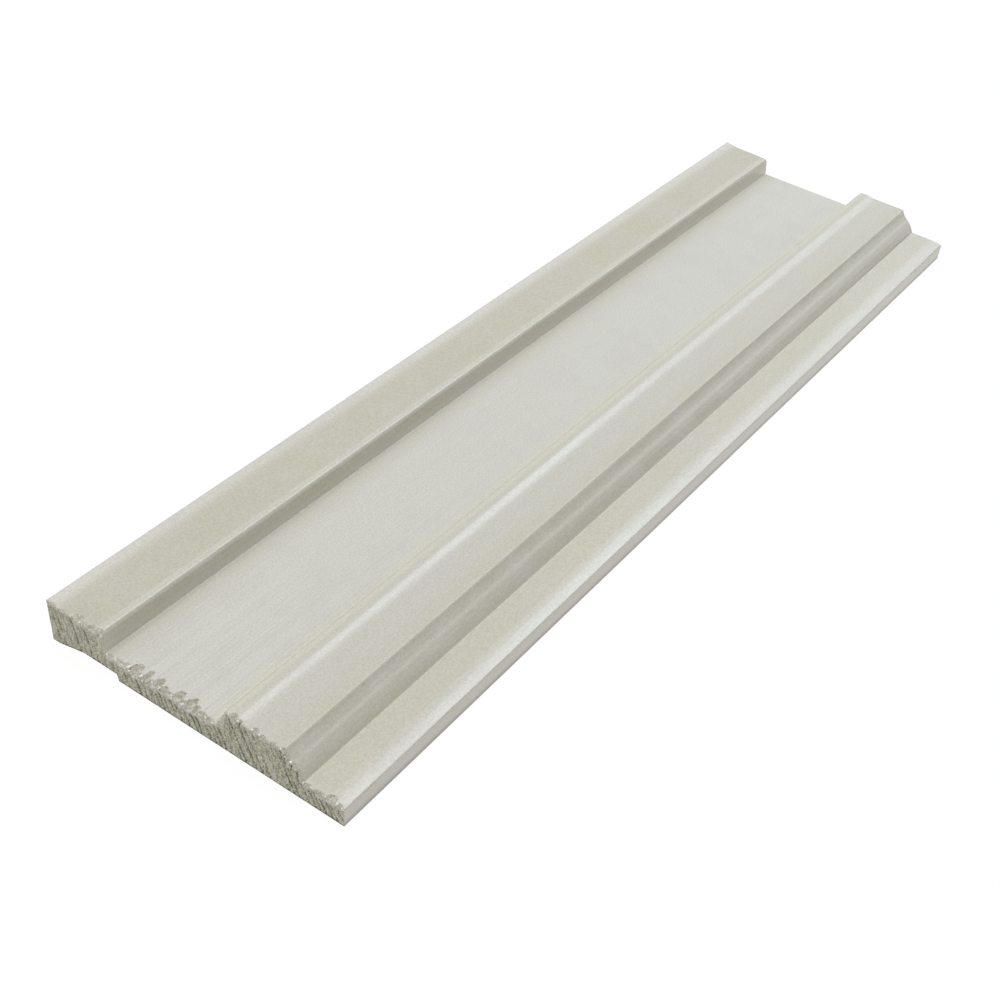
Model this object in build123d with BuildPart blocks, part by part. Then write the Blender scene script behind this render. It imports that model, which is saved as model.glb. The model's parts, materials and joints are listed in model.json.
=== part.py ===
import os

from build123d import *

# Overall size, in millimetres: X runs along the length, Y across the width, Z up from the back
board_length = 287.5
board_width = 80.0

# The sawn end is out of square: the lip edge is shorter than the foot edge by this much
saw_skew = 3.1

# Top lip: a thin edge whose outer side is softly rounded
lip_width = 10.2
lip_height = 5.3
lip_round_width = 4.2
lip_round_drop = 0.4
lip_arris = 0.35

# Ogee between the lip and the bead: a hollow above, a round below
round_run = 2.9
round_rise = 3.7
hollow_run = 1.9
hollow_sagitta = 0.26
ogee_foot_cove = 0.3

# Bead: a flat band with a shoulder that stands a little proud of it on the field side
bead_height = 12.0
bead_width = 15.1
bead_arris = 0.4
shoulder_width = 2.9
shoulder_step = 0.42
shoulder_step_run = 1.9
shoulder_crest_blend = 5.0
shoulder_foot_blend = 10.0
shoulder_arris = 0.7

# Slope from the field up to the bead
bead_slope_run = 3.0
bead_foot_cove = 1.2

# Field: the wide flat between the bead and the foot band
field_height = 6.0

# Foot band: the thick plain edge, with a low rim along its outer side
foot_height = 12.0
foot_band_width = 15.6
foot_rim_width = 3.2
foot_rim_drop = 0.6
foot_rim_blend = 20.0
foot_inner_drop = 0.9
foot_arris = 0.35
foot_inner_arris = 1.2
wall_run = 0.6
wall_foot_cove = 0.2

# Back relief: a shallow channel behind the foot band, with one steep and one sloping side
heel_width = 2.0
relief_depth = 1.9
relief_slope_run = 7.5
relief_flat_width = 9.7
relief_step_run = 0.4

# Lines of the section across the width, from the lip edge to the foot edge
lip_edge = -board_width / 2
foot_edge = board_width / 2
lip_flat_edge = lip_edge + lip_round_width
ogee_foot = lip_edge + lip_width
ogee_middle = ogee_foot + round_run
bead_edge = ogee_middle + hollow_run
bead_shoulder = bead_edge + bead_width
shoulder_crest = bead_shoulder - shoulder_width
shoulder_foot = shoulder_crest - shoulder_step_run
bead_foot = bead_shoulder + bead_slope_run
foot_inner_edge = foot_edge - foot_band_width
wall_foot = foot_inner_edge - wall_run
foot_rim_foot = foot_edge - foot_rim_width
heel_edge = foot_edge - heel_width
relief_slope_top = heel_edge - relief_slope_run
relief_step_top = relief_slope_top - relief_flat_width
relief_edge = relief_step_top - relief_step_run

# Corners of the section that are joined or rounded below
lip_outer_corner = (lip_edge, lip_height - lip_round_drop)
lip_flat_start = (lip_flat_edge, lip_height)
ogee_start = (ogee_foot, lip_height)
ogee_turn = (ogee_middle, lip_height + round_rise)
bead_corner = (bead_edge, bead_height - shoulder_step)
shoulder_foot_corner = (shoulder_foot, bead_height - shoulder_step)
shoulder_crest_corner = (shoulder_crest, bead_height)
shoulder_corner = (bead_shoulder, bead_height)
bead_foot_corner = (bead_foot, field_height)
wall_foot_corner = (wall_foot, field_height)
foot_inner_corner = (foot_inner_edge, foot_height - foot_inner_drop)
foot_rim_corner = (foot_rim_foot, foot_height - foot_rim_drop)
foot_corner = (foot_edge, foot_height)

# Radius of each rounded corner of the section
rounded_corners = {
    lip_outer_corner: lip_arris,
    ogee_start: ogee_foot_cove,
    bead_corner: bead_arris,
    shoulder_foot_corner: shoulder_foot_blend,
    shoulder_crest_corner: shoulder_crest_blend,
    shoulder_corner: shoulder_arris,
    bead_foot_corner: bead_foot_cove,
    wall_foot_corner: wall_foot_cove,
    foot_inner_corner: foot_inner_arris,
    foot_rim_corner: foot_rim_blend,
    foot_corner: foot_arris,
}

# Plane of the saw cut: it meets the foot edge at the full length and slants inwards to the lip edge
saw_plane = Plane(
    origin=(-board_length / 2, foot_edge, 0),
    x_dir=(saw_skew, -board_width, 0),
    z_dir=(board_width, saw_skew, 0),
)

# The board: one moulded section, run out both ways along the length, then sawn at its near end
with BuildPart() as skirting_board:
    with BuildSketch(Plane.YZ) as section:
        with BuildLine() as outline:
            # Lip side, back with its relief, and foot edge
            Polyline(
                lip_outer_corner,
                (lip_edge, 0),
                (relief_edge, 0),
                (relief_step_top, relief_depth),
                (relief_slope_top, relief_depth),
                (heel_edge, 0),
                (foot_edge, 0),
                foot_corner,
            )
            # Face, from the foot band over the field to the bead
            Polyline(
                foot_corner,
                foot_rim_corner,
                foot_inner_corner,
                wall_foot_corner,
                bead_foot_corner,
                shoulder_corner,
                shoulder_crest_corner,
                shoulder_foot_corner,
                bead_corner,
            )
            # Ogee, drawn down from the bead so that its hollow runs on into its round
            hollow = SagittaArc(bead_corner, ogee_turn, hollow_sagitta)
            TangentArc(ogee_turn, ogee_start, tangent=hollow % 1)
            # Lip, with its long soft rounding
            lip_flat = Line(ogee_start, lip_flat_start)
            TangentArc(lip_flat_start, lip_outer_corner, tangent=lip_flat % 1)
        make_face()
        for corner, radius in rounded_corners.items():
            fillet(section.vertices().sort_by_distance(corner)[0], radius=radius)
    extrude(amount=board_length / 2, both=True)
    split(bisect_by=saw_plane, keep=Keep.TOP)

skirting_board.part.label = "skirting_board"
os.makedirs("parts", exist_ok=True)
export_step(skirting_board.part, "parts/skirting_board.step")
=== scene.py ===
import bisect
import json
import math
import random

import bmesh
import bpy
from mathutils import Euler, Matrix, Quaternion, Vector, noise
from mathutils.bvhtree import BVHTree


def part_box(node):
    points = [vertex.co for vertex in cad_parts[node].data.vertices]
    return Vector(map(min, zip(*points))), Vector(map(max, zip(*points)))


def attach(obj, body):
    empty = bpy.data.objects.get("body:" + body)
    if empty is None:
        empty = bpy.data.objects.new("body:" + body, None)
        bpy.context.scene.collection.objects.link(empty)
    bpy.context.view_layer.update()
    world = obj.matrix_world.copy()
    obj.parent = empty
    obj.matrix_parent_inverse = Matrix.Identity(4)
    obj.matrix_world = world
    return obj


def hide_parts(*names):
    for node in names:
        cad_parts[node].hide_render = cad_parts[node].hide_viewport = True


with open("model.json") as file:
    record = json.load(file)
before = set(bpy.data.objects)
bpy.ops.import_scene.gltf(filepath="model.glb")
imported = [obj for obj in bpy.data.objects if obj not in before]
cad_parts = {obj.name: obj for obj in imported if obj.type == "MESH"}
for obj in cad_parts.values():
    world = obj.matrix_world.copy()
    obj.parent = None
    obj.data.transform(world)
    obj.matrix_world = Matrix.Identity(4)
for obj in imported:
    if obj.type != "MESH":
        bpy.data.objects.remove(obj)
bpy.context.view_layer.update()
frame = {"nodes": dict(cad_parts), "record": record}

MM = 0.001
BOARD_NODE = "skirting_board"
COAT, CORE, BACK = range(3)
board_low, board_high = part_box(BOARD_NODE)
lip_edge = board_low.y
board_width = board_high.y - board_low.y
board_height = board_high.z - board_low.z

# The saw cut, as the record gives it: a point on the cut and the direction that it faces
saw_mount = next(mount for mount in frame["record"]["mounts"] if mount["name"] == "sawn_end")
saw_point = Vector(saw_mount["pos_m"])
saw_facing = Vector(saw_mount["axis"]).normalized()

# Grid that the sawn end is worked in
grid_pitch = 0.2 * MM
worked_depth = 4.0 * MM
end_facing = 0.9
same_place = 0.001 * MM

# Saw marks: slanted broken grooves of uneven pitch and strength,
# with fine scratches and pits between them
lip_slant = 0.5
foot_slant = 0.2
groove_pitch = 1.9 * MM
groove_pitch_spread = 0.8 * MM
groove_strengths = (0.35, 0.65, 1.0)
groove_depth = 0.6 * MM
groove_half_width = 0.17 * MM
groove_break = 1.7 * MM
groove_wobble = 0.1 * MM
groove_wobble_length = 3.0 * MM
facet_depth = 0.15 * MM
scratch_pitch = 0.4 * MM
scratch_length = 3.0 * MM
scratch_depth = 0.15 * MM
pit_size = 0.5 * MM
pit_depth = 0.4 * MM

# Dense skin under the coat, where the saw marks fade out,
# and the painted contact shade along the bottom of the cut
face_skin = 0.9 * MM
back_skin = 0.5 * MM
edge_skin = 0.8 * MM
bottom_shade_height = 0.5 * MM

# Worn upper edge of the cut
edge_wear = 0.3 * MM
edge_wear_reach = 0.8 * MM

# Chips torn out of the face along the saw cut, in millimetres:
# distance from the lip edge, half width along the cut, reach into the face, drop at the cut
torn_chips = [
    (71.6, 1.3, 1.7, 0.6),
    (69.4, 0.7, 0.8, 0.6),
    (67.4, 1.0, 1.2, 0.9),
    (65.4, 1.2, 1.6, 0.7),
    (62.6, 1.1, 0.8, 0.6),
    (60.2, 1.4, 0.9, 0.7),
    (58.2, 0.9, 1.3, 0.9),
    (55.8, 1.3, 2.7, 1.5),
    (54.0, 0.8, 0.9, 0.9),
    (52.6, 0.8, 2.8, 1.6),
    (51.0, 0.7, 1.0, 0.9),
    (49.6, 1.1, 2.7, 1.5),
    (47.6, 0.8, 1.4, 1.2),
    (45.9, 1.2, 0.8, 0.7),
    (43.8, 1.2, 2.6, 1.5),
    (42.1, 0.6, 1.1, 1.0),
    (40.6, 1.2, 2.7, 1.5),
    (38.8, 0.7, 1.8, 1.3),
    (36.9, 1.1, 1.2, 1.0),
    (34.8, 1.2, 0.9, 0.7),
    (31.3, 0.8, 0.9, 0.9),
    (28.0, 0.9, 1.1, 0.8),
    (26.1, 0.5, 0.7, 0.6),
    (22.6, 0.8, 1.1, 0.7),
    (20.4, 0.6, 0.5, 0.5),
    (17.6, 0.6, 0.5, 0.4),
    (15.2, 0.45, 0.6, 0.8),
    (14.2, 0.4, 0.6, 0.9),
    (12.7, 0.45, 0.7, 0.9),
    (11.3, 0.5, 0.5, 0.5),
    (9.3, 0.7, 0.6, 0.5),
    (6.2, 1.2, 0.6, 0.4),
    (3.6, 1.2, 1.5, 0.8),
    (1.4, 0.7, 0.8, 0.6),
]
chip_blunt = 2.6
# Chips no wider than this get a dark hole of painted shade
hole_width = 0.52 * MM
chip_squeeze = 3.0 * MM
chip_fullness = 0.65
chip_ragged = 0.2
chip_ragged_size = 0.8 * MM
crumble_depth = 0.2 * MM
crumble_size = 0.45 * MM
pale_edge = 0.3 * MM

# Pale flakes of the coat left hanging at the chips, in millimetres:
# distance from the lip edge, distance behind the cut, radius
torn_flakes = [
    (79.2, 0.2, 0.3),
    (73.0, 0.2, 0.35),
    (70.3, 0.1, 0.35),
    (69.0, 0.3, 0.3),
    (66.4, 0.1, 0.35),
    (63.5, 0.3, 0.4),
    (61.6, 0.2, 0.35),
    (60.9, 0.3, 0.35),
    (59.2, 0.3, 0.3),
    (57.3, 0.5, 0.6),
    (56.9, 0.1, 0.4),
    (53.8, 0.5, 0.6),
    (53.1, 0.0, 0.35),
    (50.9, 0.6, 0.45),
    (48.4, 0.3, 0.5),
    (45.2, 0.4, 0.5),
    (44.9, 0.0, 0.3),
    (42.2, 0.4, 0.55),
    (39.6, 0.3, 0.4),
    (37.6, 0.2, 0.35),
    (35.9, 0.4, 0.35),
    (34.1, 0.3, 0.4),
    (30.5, 0.2, 0.4),
    (29.1, 0.1, 0.35),
    (26.8, 0.2, 0.5),
    (25.4, 0.2, 0.3),
    (23.2, 0.3, 0.5),
    (21.2, 0.1, 0.3),
    (15.7, 0.1, 0.3),
    (14.8, 0.2, 0.4),
    (13.4, 0.2, 0.45),
    (12.1, 0.1, 0.3),
    (10.3, 0.1, 0.35),
    (8.4, 0.1, 0.25),
    (4.8, 0.2, 0.35),
    (2.0, 0.2, 0.4),
    (0.7, 0.1, 0.35),
]
loose_flakes = 40

# Bands of the coat across the board, in millimetres from the lip edge:
# where each starts, is full, fades and ends
# The field's greyer colour; its fade back to tan before the wall is painted shade near the wall
field_band = (30.5, 33.0, 57.0, 65.5)
# Painted light: a highlight along the bead's shoulder arris, and a bright yellowish strip on the
# field at the bead's foot
painted_light_bands = [
    (28.2, 29.2, 30.2, 30.8),
    (30.5, 33.0, 33.5, 37.5),
]
# Painted cool sheen: on the lip's rounding, a stripe along the middle of the ogee, and the bead's
# flat
painted_sheen_bands = [
    (0.1, 0.5, 2.8, 4.6),
    (12.3, 12.8, 13.0, 13.5),
    (16.0, 21.0, 28.0, 30.5),
]
# Painted shade: on the lip's side face, on the ogee above and below its middle stripe, and along
# the foot's inner arris
painted_shade_bands = [
    (-4.0, -2.0, 0.1, 0.4),
    (10.3, 11.0, 12.0, 13.1),
    (12.7, 13.7, 14.6, 15.0),
    (64.2, 64.4, 64.7, 65.0),
]
# Painted highlights: at the foot of the wall, beside the foot's inner arris, and along the foot's
# outer rim
painted_highlight_bands = [
    (63.2, 63.5, 63.9, 64.1),
    (65.2, 65.7, 66.2, 66.9),
    (76.0, 78.5, 82.0, 84.0),
]

# Colours of the coat
coat_tan = (0.505, 0.478, 0.39, 1)
coat_grey = (0.58, 0.565, 0.515, 1)
coat_pink = (0.53, 0.50, 0.46, 1)
coat_worn = (0.78, 0.77, 0.72, 1)
# Painted contact shade, laid over the coat's lowest 2 mm
coat_bottom_shade = (0.16, 0.15, 0.13, 1)

# Painted light and shade laid over the coat, one on top of another: colour, share and bands
painted_light_and_shade = [
    ((0.56, 0.55, 0.52, 1), 0.35, painted_sheen_bands),
    ((0.59, 0.575, 0.475, 1), 0.8, painted_light_bands),
    ((0.41, 0.39, 0.325, 1), 0.75, painted_shade_bands),
    ((0.63, 0.615, 0.565, 1), 0.45, painted_highlight_bands),
]

# Colours of the bared core
core_dull = (0.425, 0.41, 0.305, 1)
core_light = (0.59, 0.575, 0.465, 1)
core_scratch = (0.22, 0.21, 0.15, 1)
core_skin = (0.52, 0.50, 0.41, 1)
core_pore = (0.13, 0.12, 0.09, 1)
core_painted_shade = (0.10, 0.095, 0.065, 1)
core_speck = (0.76, 0.74, 0.65, 1)
chip_dull = (0.46, 0.445, 0.37, 1)
chip_light = (0.62, 0.605, 0.54, 1)

# Place along the board by which the fine lines on the field have faded
lines_end = board_low.x + 110 * MM

# Camera, set where both end outlines of the photo were solved
camera_place = Vector((-0.2653, -0.1506, 0.2281))
camera_aim = Vector((-0.0436, -0.0051, 0.0))
camera_roll = math.radians(5.28)
camera_lens = 51.17
camera_sensor = 36.0


def depth_behind_cut(point):
    """How far a point lies behind the saw cut, measured square to it."""
    return (saw_point - point).dot(saw_facing)


def cut_board(bm, faces, plane_point, plane_direction):
    """Cuts new edges into these faces along a plane."""
    parts = set(faces)
    for face in faces:
        parts.update(face.edges)
        parts.update(face.verts)
    bmesh.ops.bisect_plane(
        bm, geom=list(parts), dist=same_place, plane_co=plane_point, plane_no=plane_direction
    )


def grid_the_board(bm):
    """Cuts the board lengthwise into narrow strips, and its sawn end into a fine grid."""
    for step in range(1, round(board_width / grid_pitch)):
        place = Vector((0, lip_edge + step * grid_pitch, 0))
        cut_board(bm, bm.faces[:], place, Vector((0, 1, 0)))
    for step in range(round(worked_depth / grid_pitch), 0, -1):
        place = saw_point - saw_facing * step * grid_pitch
        crossed = [
            f for f in bm.faces if any(depth_behind_cut(v.co) < worked_depth for v in f.verts)
        ]
        cut_board(bm, crossed, place, saw_facing)
    limit = worked_depth + same_place
    end_faces = [f for f in bm.faces if all(depth_behind_cut(v.co) < limit for v in f.verts)]
    for step in range(1, round(board_height / grid_pitch)):
        level = step * grid_pitch
        crossed = [
            f
            for f in end_faces
            if min(v.co.z for v in f.verts) < level < max(v.co.z for v in f.verts)
        ]
        if crossed:
            kept = set(end_faces)
            before = set(bm.faces)
            cut_board(bm, crossed, Vector((0, 0, level)), Vector((0, 0, 1)))
            end_faces = [f for f in bm.faces if f in kept or f not in before]


def groove_places():
    """Places of the saw grooves across the board with their strengths, at an uneven pitch."""
    chance = random.Random(7)
    places = [lip_edge - 6 * groove_pitch]
    while places[-1] < board_high.y + 2 * groove_pitch:
        spread = chance.uniform(-groove_pitch_spread, groove_pitch_spread)
        places.append(places[-1] + groove_pitch + spread)
    return places, [chance.choice(groove_strengths) for place in places]


def saw_relief(y, z, grooves, strengths):
    """Depth of the saw marks at a place on the cut, and their painted shade in the grooves,
    scratches and pits, from 0 to 1.
    """
    slant = lip_slant + (foot_slant - lip_slant) * (y - lip_edge) / board_width
    wobble = noise.noise(Vector((y, 0, z)) / groove_wobble_length + Vector((0, 9.3, 0)))
    along = y - slant * z + groove_wobble * wobble
    index = bisect.bisect(grooves, along)
    start, end = grooves[index - 1], grooves[index]
    nearest = index - 1 if along - start < end - along else index
    offset = (along - grooves[nearest]) / groove_half_width
    broken = 0.8 + 0.8 * noise.noise(Vector((7.7 * nearest, z / groove_break, 3.1)))
    in_groove = strengths[nearest] * max(broken, 0.1) * math.exp(-offset * offset)
    scratch = max(0.0, noise.noise(Vector((along / scratch_pitch, z / scratch_length, 11.7))))
    pit = max(0.0, noise.noise(Vector((y, 0, z)) / pit_size + Vector((0, 23.0, 0))) - 0.2)
    depth = facet_depth * (along - start) / (end - start)
    depth += groove_depth * in_groove + scratch_depth * scratch + pit_depth * pit
    return depth, min(1.0, in_groove + 0.4 * scratch + 0.5 * pit)


def chip_nearness(y, depth):
    """1 in a chip's mouth, 0 on its torn border, negative outside; with its drop and half width."""
    best = -9.0
    best_drop = best_width = 0.0
    for from_lip, half_width, reach, drop in torn_chips:
        across = abs(y - lip_edge - from_lip * MM) / (half_width * MM)
        inward = depth / (reach * MM)
        nearness = 1.0 - (across**chip_blunt + inward**chip_blunt) ** (1 / chip_blunt)
        if nearness > best:
            best = nearness
            best_drop = drop * MM
            best_width = half_width * MM
    ragged = noise.noise(Vector((y, depth, 5.0 * chip_ragged_size)) / chip_ragged_size)
    return best + chip_ragged * ragged, best_drop, best_width


def share_of(value, full):
    """Smooth share from 0 to 1 that a value has of a full one."""
    share = min(1.0, max(0.0, value / full))
    return share * share * (3 - 2 * share)


def face_tree(bm):
    """The moulded face alone, without its ends, sides and back, to measure the skin from."""
    bm.verts.index_update()
    moulded = [f for f in bm.faces if f.normal.z > 0.02 and abs(f.normal.x) < end_facing]
    polygons = [[v.index for v in f.verts] for f in moulded]
    return BVHTree.FromPolygons([v.co for v in bm.verts], polygons)


def tear_the_sawn_end(bm):
    """Gives the sawn end its saw marks and chips, marks what was torn, and marks painted shade in
    the grooves, small holes and along the bottom.
    """
    painted_shade_layer = bm.verts.layers.float.new("painted_shade")
    torn_layer = bm.verts.layers.float.new("torn")
    skin_layer = bm.verts.layers.float.new("skin")
    pale_layer = bm.verts.layers.float.new("pale")
    grooves, strengths = groove_places()
    solid = BVHTree.FromBMesh(bm)
    moulded_face = face_tree(bm)
    moves = []
    for vert in bm.verts:
        depth = max(0.0, depth_behind_cut(vert.co))
        if depth > worked_depth:
            continue
        x, y, z = vert.co
        nearest, outwards, face_index, skin = moulded_face.find_nearest(vert.co)
        back = solid.ray_cast(Vector((0, y * 0.9999, -1)), Vector((0, 0, 1)))[0].z
        fade = (1 - depth / worked_depth) ** 2
        relief, in_groove = saw_relief(y, z, grooves, strengths)
        marked = share_of(z - back, back_skin) * share_of(skin - 0.3 * MM, face_skin)
        within_sides = share_of(board_high.y - y, edge_skin) * share_of(y - lip_edge, edge_skin)
        marked *= within_sides
        squeeze = max(0.0, 1 - skin / chip_squeeze)
        worn = share_of(0.5 + noise.noise(Vector((y, 40 * MM, depth)) / (1.2 * MM)), 1.0)
        fall = edge_wear * within_sides * (0.3 + worn) * max(0.0, 1 - depth / edge_wear_reach) ** 2
        nearness, drop, half_width = chip_nearness(y, depth)
        if nearness > 0:
            crumble = noise.noise(Vector((y, depth, z)) / crumble_size)
            dug = drop * min(1.0, nearness) ** chip_fullness
            fall += dug + crumble_depth * crumble * share_of(nearness, 0.3)
            vert[torn_layer] = share_of(nearness, 0.2) * squeeze
        at_face = share_of(squeeze - 0.9, 0.1)
        vert[pale_layer] = share_of(pale_edge - depth, pale_edge) * at_face * worn
        vert[skin_layer] = 1 - share_of(skin, face_skin)
        # Painted shade: a dark hole in the narrowest chips, a dark line along the bottom of the
        # cut, and darkness in the saw grooves
        hole = share_of(nearness - 0.3, 0.4) * squeeze if half_width <= hole_width else 0.0
        bottom = share_of(bottom_shade_height - (z - back), bottom_shade_height)
        vert[painted_shade_layer] = max(in_groove * marked, bottom, hole)
        sunk = Vector((relief * marked * fade, 0, 0))
        moves.append((vert, sunk - outwards * max(fall, 0.0) * squeeze))
    for vert, move in moves:
        vert.co += move


def flake_places():
    """Places of the pale flakes, from the lip edge and behind the cut, with their radii."""
    chance = random.Random(19)
    for from_lip, behind, radius in torn_flakes:
        yield from_lip * MM, behind * MM, radius * MM
    for flake in range(loose_flakes):
        across = chance.uniform(0.01, 0.99) * board_width
        yield across, chance.uniform(-0.1, 0.35) * MM, chance.uniform(0.08, 0.18) * MM


def scatter_flakes(board, flake):
    """Small torn flakes of the coat, half sunk in the board at the chips and along the cut."""
    bm = bmesh.new()
    surface = bmesh.new()
    surface.from_mesh(board.data)
    solid = BVHTree.FromBMesh(surface)
    surface.free()
    chance = random.Random(31)
    for across, depth, radius in flake_places():
        y = lip_edge + across
        cut_x = saw_point.x - (y - saw_point.y) * saw_facing.y / saw_facing.x
        place = solid.ray_cast(Vector((cut_x + max(depth, 0.05 * MM), y, 1)), Vector((0, 0, -1)))[0]
        if place is None:
            continue
        place.x = max(cut_x + depth, board_low.x + radius)
        place.z = min(place.z + 0.25 * radius, board_high.z - 1.1 * radius)
        turn = Euler([chance.uniform(0, math.pi) for axis in range(3)])
        sliver = Matrix.LocRotScale(place, turn, Vector((1, 0.7, 0.55)))
        made = bmesh.ops.create_icosphere(bm, subdivisions=2, radius=radius, matrix=sliver)
        for vert in made["verts"]:
            uneven = 0.75 + 0.6 * noise.noise(vert.co / (0.5 * radius))
            vert.co = place + (vert.co - place) * min(1.0, uneven)
    for face in bm.faces:
        face.smooth = True
    mesh = bpy.data.meshes.new("torn_flakes")
    bm.to_mesh(mesh)
    bm.free()
    mesh.materials.append(flake)
    flakes = bpy.data.objects.new("torn_flakes", mesh)
    bpy.context.scene.collection.objects.link(flakes)
    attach(flakes, "root")


def build_board(coat, core, back):
    """The board: a copy of the CAD mesh with its saw cut worked up."""
    bm = bmesh.new()
    bm.from_mesh(frame["nodes"][BOARD_NODE].data)
    bmesh.ops.remove_doubles(bm, verts=bm.verts, dist=same_place)
    bmesh.ops.dissolve_limit(
        bm,
        angle_limit=math.radians(0.1),
        verts=bm.verts,
        edges=bm.edges,
        use_dissolve_boundaries=False,
    )
    grid_the_board(bm)
    bm.normal_update()
    for face in bm.faces:
        middle = face.calc_center_median()
        depth = depth_behind_cut(middle)
        if abs(face.normal.x) > end_facing:
            face.material_index = CORE
        elif face.normal.z < -0.05:
            face.material_index = BACK
        elif depth < worked_depth and chip_nearness(middle.y, depth)[0] > 0:
            face.material_index = CORE
        face.smooth = True
    tear_the_sawn_end(bm)
    bm.normal_update()
    mesh = bpy.data.meshes.new("moulded_board")
    bm.to_mesh(mesh)
    bm.free()
    mesh.set_sharp_from_angle(angle=math.radians(32))
    board = bpy.data.objects.new("moulded_board", mesh)
    bpy.context.scene.collection.objects.link(board)
    for material in (coat, core, back):
        mesh.materials.append(material)
    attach(board, "root")
    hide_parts(BOARD_NODE)
    return board


def add_node(tree, kind, inputs=None, **settings):
    """A shader node with its settings, and with values or links on the named inputs."""
    node = tree.nodes.new(kind)
    for name, value in settings.items():
        setattr(node, name, value)
    for name, value in (inputs or {}).items():
        set_input(tree, node.inputs[name], value)
    return node


def set_input(tree, socket, value):
    """Links a socket to another one, or gives it a plain value."""
    if isinstance(value, bpy.types.NodeSocket):
        tree.links.new(value, socket)
    else:
        socket.default_value = value


def calculate(tree, operation, first, second):
    """Result of a sum, product or other operation on two values."""
    node = tree.nodes.new("ShaderNodeMath")
    node.operation = operation
    set_input(tree, node.inputs[0], first)
    set_input(tree, node.inputs[1], second)
    return node.outputs[0]


def mix_colours(tree, share, first, second, blend="MIX"):
    """Colour between two others, by a share from 0 to 1."""
    node = tree.nodes.new("ShaderNodeMix")
    node.data_type = "RGBA"
    node.blend_type = blend
    set_input(tree, node.inputs[0], share)
    set_input(tree, node.inputs[6], first)
    set_input(tree, node.inputs[7], second)
    return node.outputs[2]


def rise(tree, value, start, end, low=0.0, high=1.0):
    """Smooth change from one value to another while the given value goes from start to end."""
    node = add_node(
        tree,
        "ShaderNodeMapRange",
        {"Value": value, "From Min": start, "From Max": end, "To Min": low, "To Max": high},
        interpolation_type="SMOOTHSTEP",
    )
    return node.outputs["Result"]


def band_share(tree, across, band):
    """1 inside a band across the board, fading to 0 at both its ends."""
    start, full, fading, end = (lip_edge + distance * MM for distance in band)
    rising = rise(tree, across, start, full)
    falling = rise(tree, across, end, fading)
    return calculate(tree, "MULTIPLY", rising, falling)


def speck_group():
    """Fine round specks of a given size, as a value around one half."""
    group = bpy.data.node_groups.new("specks", "ShaderNodeTree")
    group.interface.new_socket("Place", in_out="INPUT", socket_type="NodeSocketVector")
    group.interface.new_socket("Size", in_out="INPUT", socket_type="NodeSocketFloat")
    group.interface.new_socket("Specks", in_out="OUTPUT", socket_type="NodeSocketFloat")
    start = group.nodes.new("NodeGroupInput")
    end = group.nodes.new("NodeGroupOutput")
    scale = calculate(group, "DIVIDE", 1.0, start.outputs["Size"])
    specks = add_node(
        group,
        "ShaderNodeTexNoise",
        {"Vector": start.outputs["Place"], "Scale": scale, "Detail": 2.0, "Roughness": 0.6},
    )
    group.links.new(specks.outputs["Fac"], end.inputs["Specks"])
    return group


def streak_group():
    """Straight fine streaks along a turned and stretched place, as a value around one half."""
    group = bpy.data.node_groups.new("streaks", "ShaderNodeTree")
    group.interface.new_socket("Place", in_out="INPUT", socket_type="NodeSocketVector")
    group.interface.new_socket("Turn", in_out="INPUT", socket_type="NodeSocketVector")
    group.interface.new_socket("Density", in_out="INPUT", socket_type="NodeSocketVector")
    group.interface.new_socket("Streaks", in_out="OUTPUT", socket_type="NodeSocketFloat")
    start = group.nodes.new("NodeGroupInput")
    end = group.nodes.new("NodeGroupOutput")
    stretched = add_node(
        group,
        "ShaderNodeMapping",
        {
            "Vector": start.outputs["Place"],
            "Rotation": start.outputs["Turn"],
            "Scale": start.outputs["Density"],
        },
    )
    streaks = add_node(
        group,
        "ShaderNodeTexNoise",
        {"Vector": stretched.outputs["Vector"], "Scale": 1.0, "Detail": 2.0, "Roughness": 0.55},
    )
    group.links.new(streaks.outputs["Fac"], end.inputs["Streaks"])
    return group


def use_group(tree, group, inputs):
    """The output of a shared effect placed in a material with its own values."""
    node = tree.nodes.new("ShaderNodeGroup")
    node.node_tree = group
    for name, value in inputs.items():
        set_input(tree, node.inputs[name], value)
    return node.outputs[0]


def per_mm(x, y, z):
    """Density of a pattern, given as the length of one repeat along each axis in millimetres."""
    return (1 / (x * MM), 1 / (y * MM), 1 / (z * MM))


def new_material(name):
    """A material with its shader and the place on the piece that its patterns follow."""
    material = bpy.data.materials.new(name)
    material.use_nodes = True
    tree = material.node_tree
    place = tree.nodes.new("ShaderNodeTexCoord").outputs["Object"]
    return material, tree, tree.nodes["Principled BSDF"], place


def read_mark(tree, name):
    """A mark that was left on the points of the mesh, as a value from 0 to 1."""
    return add_node(tree, "ShaderNodeAttribute", attribute_name=name).outputs["Fac"]


def add_bump(tree, shader, height, strength, distance):
    """Fine relief of a material, from a pattern of heights."""
    inputs = {"Height": height, "Strength": strength, "Distance": distance}
    bump = add_node(tree, "ShaderNodeBump", inputs)
    tree.links.new(bump.outputs["Normal"], shader.inputs["Normal"])


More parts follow.
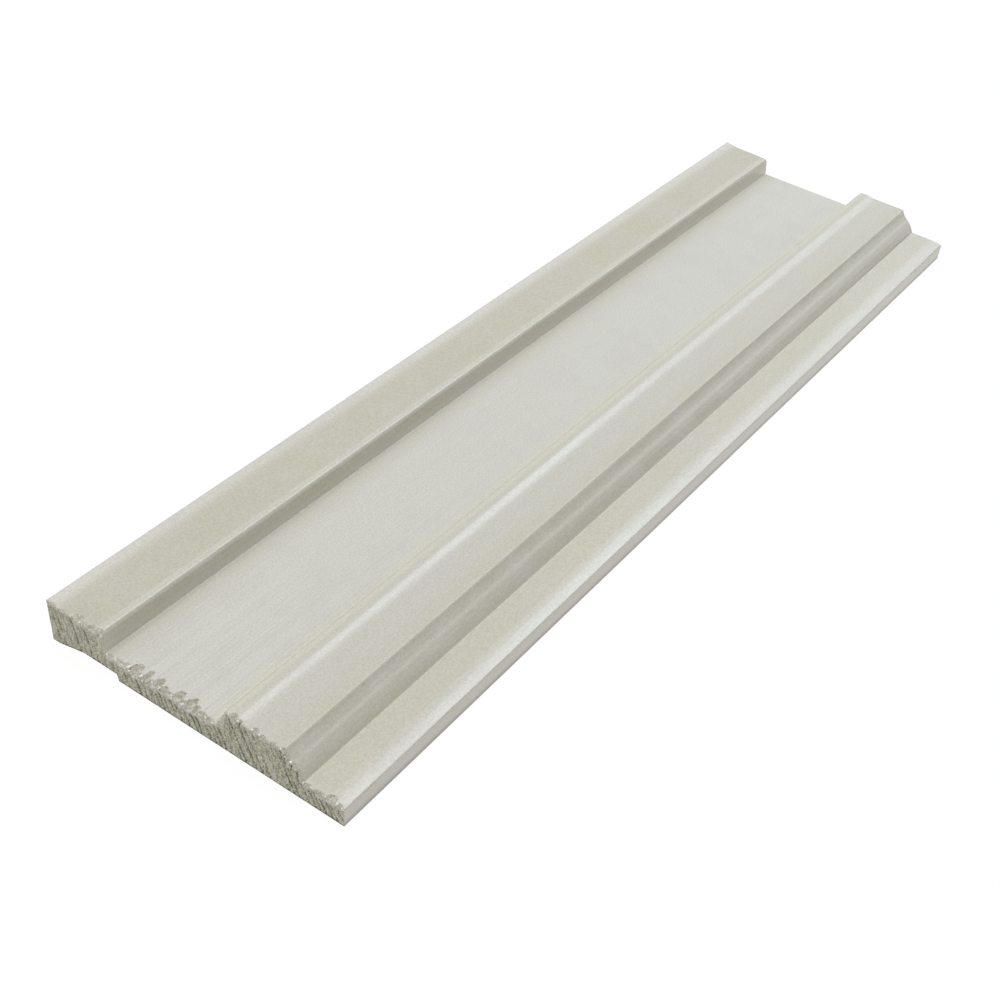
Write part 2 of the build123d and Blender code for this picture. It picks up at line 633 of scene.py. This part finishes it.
def pearl_coat(specks, streaks):
    """Satin pearl coat: tan on the raised parts, greyer on the field, finely stippled, with painted
    highlights, sheen and shade in bands across the board and painted contact shade along the
    bottom.
    """
    material, tree, shader, place = new_material("pearl_coat")
    axes = add_node(tree, "ShaderNodeSeparateXYZ", {"Vector": place})
    along, across, height_above_back = axes.outputs
    # Greyer field colour, fading back to tan before the wall as painted shade
    field = band_share(tree, across, field_band)
    colour = mix_colours(tree, field, coat_tan, coat_grey)
    # Painted highlights, sheen and shade in bands across the board
    for tint, share, bands in painted_light_and_shade:
        for band in bands:
            tinted = calculate(tree, "MULTIPLY", band_share(tree, across, band), share)
            colour = mix_colours(tree, tinted, colour, tint)
    clouds = use_group(tree, specks, {"Place": place, "Size": 9 * MM})
    colour = mix_colours(tree, rise(tree, clouds, 0.4, 0.7, 0.0, 0.35), colour, coat_pink)
    stipple = use_group(tree, specks, {"Place": place, "Size": 0.5 * MM})
    shade = rise(tree, stipple, 0.25, 0.75, 0.91, 1.09)
    colour = mix_colours(tree, 1.0, colour, shade, "MULTIPLY")
    line_density = per_mm(90, 0.4, 2)
    lines = use_group(tree, streaks, {"Place": place, "Density": line_density})
    shade = rise(tree, lines, 0.35, 0.68, 0.97, 1.06)
    lined = calculate(tree, "MULTIPLY", field, rise(tree, along, lines_end, board_low.x, 0.3, 1.0))
    colour = mix_colours(tree, lined, colour, mix_colours(tree, 1.0, colour, shade, "MULTIPLY"))
    worn = rise(tree, read_mark(tree, "pale"), 0.3, 1.0)
    colour = mix_colours(tree, worn, colour, coat_worn)
    # Painted contact shade: the coat darkens towards the bottom
    bottom_shade = rise(tree, height_above_back, 2.0 * MM, 0.2 * MM, 0.0, 0.7)
    colour = mix_colours(tree, bottom_shade, colour, coat_bottom_shade)
    tree.links.new(colour, shader.inputs["Base Color"])

    tree.links.new(rise(tree, clouds, 0.3, 0.7, 0.4, 0.48), shader.inputs["Roughness"])
    shader.inputs["Coat Weight"].default_value = 0.6
    shader.inputs["Coat Roughness"].default_value = 0.24
    line_height = calculate(tree, "MULTIPLY", lines, calculate(tree, "MULTIPLY", lined, 0.6))
    height = calculate(tree, "ADD", stipple, line_height)
    add_bump(tree, shader, height, 0.5, 0.04 * MM)
    return material


def sawn_core(specks, streaks):
    """Core bared by the saw: olive grey, porous, with painted shade in the grooves, small holes and
    along the bottom, lighter where torn.
    """
    material, tree, shader, place = new_material("sawn_core")
    slant = (math.atan(0.5 * (lip_slant + foot_slant)), 0, 0)
    scratch_density = per_mm(6, 0.3, 4)
    scratches = use_group(
        tree, streaks, {"Place": place, "Turn": slant, "Density": scratch_density}
    )
    pores = use_group(tree, specks, {"Place": place, "Size": 0.4 * MM})
    flecks = use_group(tree, specks, {"Place": place, "Size": 1.1 * MM})
    painted_shade = read_mark(tree, "painted_shade")
    torn = read_mark(tree, "torn")
    skin = read_mark(tree, "skin")
    colour = mix_colours(tree, rise(tree, flecks, 0.35, 0.65), core_dull, core_light)
    colour = mix_colours(tree, rise(tree, scratches, 0.5, 0.36, 0.0, 0.55), colour, core_scratch)
    colour = mix_colours(tree, rise(tree, skin, 0.1, 1.0, 0.0, 0.9), colour, core_skin)
    colour = mix_colours(tree, rise(tree, pores, 0.44, 0.36, 0.0, 0.65), colour, core_pore)
    inside_chip = mix_colours(tree, rise(tree, flecks, 0.4, 0.6), chip_dull, chip_light)
    colour = mix_colours(tree, rise(tree, torn, 0.2, 0.9, 0.0, 0.85), colour, inside_chip)
    # Painted shade in the saw grooves, the narrowest chips and along the bottom of the cut
    colour = mix_colours(tree, rise(tree, painted_shade, 0.15, 0.75, 0.0, 0.85), colour, core_painted_shade)
    colour = mix_colours(tree, rise(tree, pores, 0.56, 0.63, 0.0, 0.75), colour, core_speck)
    tree.links.new(colour, shader.inputs["Base Color"])
    shader.inputs["Roughness"].default_value = 0.9
    shader.inputs["Specular IOR Level"].default_value = 0.2
    height = calculate(tree, "ADD", pores, calculate(tree, "MULTIPLY", scratches, 0.7))
    add_bump(tree, shader, height, 0.8, 0.2 * MM)
    return material


def torn_flake(specks):
    """Broken flakes of the coat: pale and dull, with darker specks of the core on them."""
    material, tree, shader, place = new_material("torn_flake")
    crumbs = use_group(tree, specks, {"Place": place, "Size": 0.25 * MM})
    speckled = rise(tree, crumbs, 0.5, 0.35)
    colour = mix_colours(tree, speckled, (0.92, 0.91, 0.87, 1), (0.6, 0.58, 0.5, 1))
    tree.links.new(colour, shader.inputs["Base Color"])
    shader.inputs["Roughness"].default_value = 0.6
    add_bump(tree, shader, crumbs, 0.6, 0.1 * MM)
    return material


def bare_back(specks, streaks):
    """Uncoated back of the moulding: dull, with faint lengthwise streaks."""
    material, tree, shader, place = new_material("bare_back")
    line_density = per_mm(120, 0.8, 4)
    lines = use_group(tree, streaks, {"Place": place, "Density": line_density})
    grain = use_group(tree, specks, {"Place": place, "Size": 0.6 * MM})
    streaked = rise(tree, lines, 0.35, 0.65)
    colour = mix_colours(tree, streaked, (0.40, 0.385, 0.33, 1), (0.46, 0.445, 0.39, 1))
    colour = mix_colours(tree, 1.0, colour, rise(tree, grain, 0.25, 0.75, 0.9, 1.08), "MULTIPLY")
    tree.links.new(colour, shader.inputs["Base Color"])
    shader.inputs["Roughness"].default_value = 0.75
    height = calculate(tree, "ADD", grain, lines)
    add_bump(tree, shader, height, 0.5, 0.06 * MM)
    return material


def lay_floor():
    """A plain pale floor under the board, lit a little from within like a photo table."""
    bm = bmesh.new()
    bmesh.ops.create_grid(bm, x_segments=1, y_segments=1, size=3.0)
    mesh = bpy.data.meshes.new("floor")
    bm.to_mesh(mesh)
    bm.free()
    floor = bpy.data.objects.new("floor", mesh)
    bpy.context.scene.collection.objects.link(floor)
    material = bpy.data.materials.new("pale_floor")
    material.use_nodes = True
    shader = material.node_tree.nodes["Principled BSDF"]
    shader.inputs["Base Color"].default_value = (0.08, 0.08, 0.08, 1)
    shader.inputs["Roughness"].default_value = 1.0
    shader.inputs["Specular IOR Level"].default_value = 0.0
    shader.inputs["Emission Color"].default_value = (1, 1, 1, 1)
    shader.inputs["Emission Strength"].default_value = 0.94
    mesh.materials.append(material)


def add_softbox(name, direction, distance, width, height, power, colour):
    """A soft light that faces the middle of the board."""
    light = bpy.data.lights.new(name, "AREA")
    light.shape = "RECTANGLE"
    light.size = width
    light.size_y = height
    light.energy = power
    light.color = colour
    box = bpy.data.objects.new(name, light)
    towards = Vector(direction).normalized()
    box.location = towards * distance
    box.rotation_mode = "QUATERNION"
    box.rotation_quaternion = (-towards).to_track_quat("-Z", "Y")
    bpy.context.scene.collection.objects.link(box)


def light_the_studio():
    """Even light from all round, a key from above, and softboxes that the satin coat mirrors."""
    world = bpy.data.worlds.new("studio")
    world.use_nodes = True
    background = world.node_tree.nodes["Background"]
    background.inputs["Color"].default_value = (1, 1, 1, 1)
    background.inputs["Strength"].default_value = 0.45
    bpy.context.scene.world = world
    add_softbox("overhead_key", (0.0, 0.12, 0.99), 1.2, 0.9, 0.9, 6.9, (1.0, 0.98, 0.95))
    add_softbox("right_fill", (0.3, -0.85, 0.3), 0.8, 0.4, 0.4, 0.6, (0.95, 0.98, 1.0))
    add_softbox("high_sheen", (0.50, 0.08, 0.86), 1.1, 0.32, 0.5, 2.75, (0.78, 0.90, 1.0))
    add_softbox("low_sheen", (0.78, 0.05, 0.62), 1.1, 0.32, 0.5, 1.25, (0.78, 0.90, 1.0))
    add_softbox("ogee_sheen", (0.82, -0.50, 0.28), 0.9, 0.3, 0.3, 0.3, (0.8, 0.9, 1.0))
    bpy.context.scene.view_settings.view_transform = "Standard"


def place_camera():
    """The camera at the photo's viewing angle."""
    data = bpy.data.cameras.new("camera")
    data.sensor_width = camera_sensor
    data.lens = camera_lens
    camera = bpy.data.objects.new("camera", data)
    sight = camera_aim - camera_place
    camera.location = camera_place
    camera.rotation_mode = "QUATERNION"
    camera.rotation_quaternion = sight.to_track_quat("-Z", "Y") @ Quaternion((0, 0, 1), camera_roll)
    bpy.context.scene.collection.objects.link(camera)
    bpy.context.scene.camera = camera


shared_specks = speck_group()
shared_streaks = streak_group()
moulded_board = build_board(
    pearl_coat(shared_specks, shared_streaks),
    sawn_core(shared_specks, shared_streaks),
    bare_back(shared_specks, shared_streaks),
)
scatter_flakes(moulded_board, torn_flake(shared_specks))
lay_floor()
light_the_studio()
place_camera()
